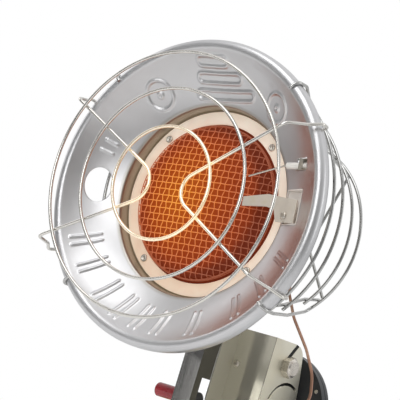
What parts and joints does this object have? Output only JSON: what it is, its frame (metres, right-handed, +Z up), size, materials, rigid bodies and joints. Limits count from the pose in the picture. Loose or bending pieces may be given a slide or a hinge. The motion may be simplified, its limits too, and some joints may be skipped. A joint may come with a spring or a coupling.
{
  "type": "outdoor heater",
  "caption": "Tank-top outdoor gas heater: round dish with a glowing mesh burner, wire guards front and rear, and a plated stand with valve, regulator and tank nipple.",
  "frame": {"origin": "centre of the tank nipple's end face, where the heater is screwed to a gas tank", "axes": "+Z up, the dish faces -Y, +Y along the tank nipple away from the heater"},
  "size_m": [0.3048, 0.3281, 0.4634],
  "materials": {
    "dish": "satin",
    "flange": "satin",
    "rivet": "satin",
    "steel": "satin",
    "emitter": "heat-tinted woven wire",
    "chrome_wire": "polished",
    "sensor": "satin",
    "brass": "machined",
    "ceramic": "glazed",
    "plated": "bright plated",
    "bolt": "plated",
    "spring": "drawn wire",
    "black_plastic": "moulded",
    "red_plastic": "moulded",
    "regulator": "powder coat",
    "rubber": "sheet",
    "copper": "drawn copper",
    "black_lead": "insulated"
  },
  "bodies": {
    "heater": {"reflector": "dish", "burner_flange": "flange", "flange_rivets": "rivet", "plenum_cup": "steel", "emitter_mesh": "emitter", "emitter_core": "emitter", "guard_ring_inner": "chrome_wire", "guard_ring_middle": "chrome_wire", "guard_ring_outer": "chrome_wire", "guard_wire_left": "chrome_wire", "guard_wire_right": "chrome_wire", "cage_ring_front": "chrome_wire", "cage_ring_second": "chrome_wire", "cage_ring_third": "chrome_wire", "cage_ring_back": "chrome_wire", "cage_spine_upper_right": "chrome_wire", "cage_spine_upper_left": "chrome_wire", "cage_spine_lower_right": "chrome_wire", "cage_spine_lower_left": "chrome_wire", "cage_chord_right": "chrome_wire", "cage_chord_left": "chrome_wire", "sensor_saddle": "flange", "sensor_plate": "sensor", "thermocouple": "brass", "sensor_screw": "rivet", "igniter_electrode": "steel", "igniter_ceramic": "ceramic", "igniter_clip": "steel", "stand_strap": "plated", "stand_channel": "plated", "pan_screws": "rivet", "side_bolt": "bolt", "base_tie": "plated", "tie_bolts": "bolt", "tie_nuts": "bolt", "mixing_tube": "plated", "injector": "brass", "valve_body": "brass", "valve_spring": "spring", "magnet_unit": "brass", "thermocouple_nut": "brass", "gas_pipe": "plated", "flare_nuts": "brass", "piezo_igniter": "black_plastic", "regulator_body": "regulator", "regulator_diaphragm": "rubber", "regulator_bonnet": "regulator", "regulator_spring": "spring", "regulator_screws": "bolt", "inlet_elbow": "brass", "tank_nipple": "brass", "thermocouple_lead": "copper", "ignition_lead": "black_lead"},
    "button": {"red_button": "red_plastic"},
    "plunger": {"valve_plunger": "brass"},
    "knob": {"regulator_knob": "black_plastic"},
    "tank_nut_body": {"tank_nut": "brass", "hand_wheel": "black_plastic"},
    "clamp": {"clamp_screw": "bolt"}
  },
  "joints": [
    {"name": "button_press", "type": "slide", "parent": "heater", "child": "button", "axis": [1, 0, 0], "range_m": [0, 0.005], "stiffness_N_per_m": 600, "springref_m": -0.004},
    {"name": "plunger_press", "type": "slide", "parent": "heater", "child": "plunger", "axis": [1, 0, 0], "range_m": [0, 0.005], "stiffness_N_per_m": 500, "springref_m": -0.004, "deforming": ["valve_spring"]},
    {"name": "knob_turn", "type": "hinge", "parent": "heater", "child": "knob", "pos_m": [0.003, -0.02, 0.074], "axis": [0, 1, 0], "range_deg": [0, 270]},
    {"name": "nut_turn", "type": "hinge", "parent": "heater", "child": "tank_nut_body", "pos_m": [0, -0.034, 0], "axis": [0, 1, 0], "continuous": true},
    {"name": "clamp_turn", "type": "hinge", "parent": "heater", "child": "clamp", "pos_m": [-0.013, -0.08, -0.059], "axis": [0, 1, 0], "continuous": true}
  ]
}
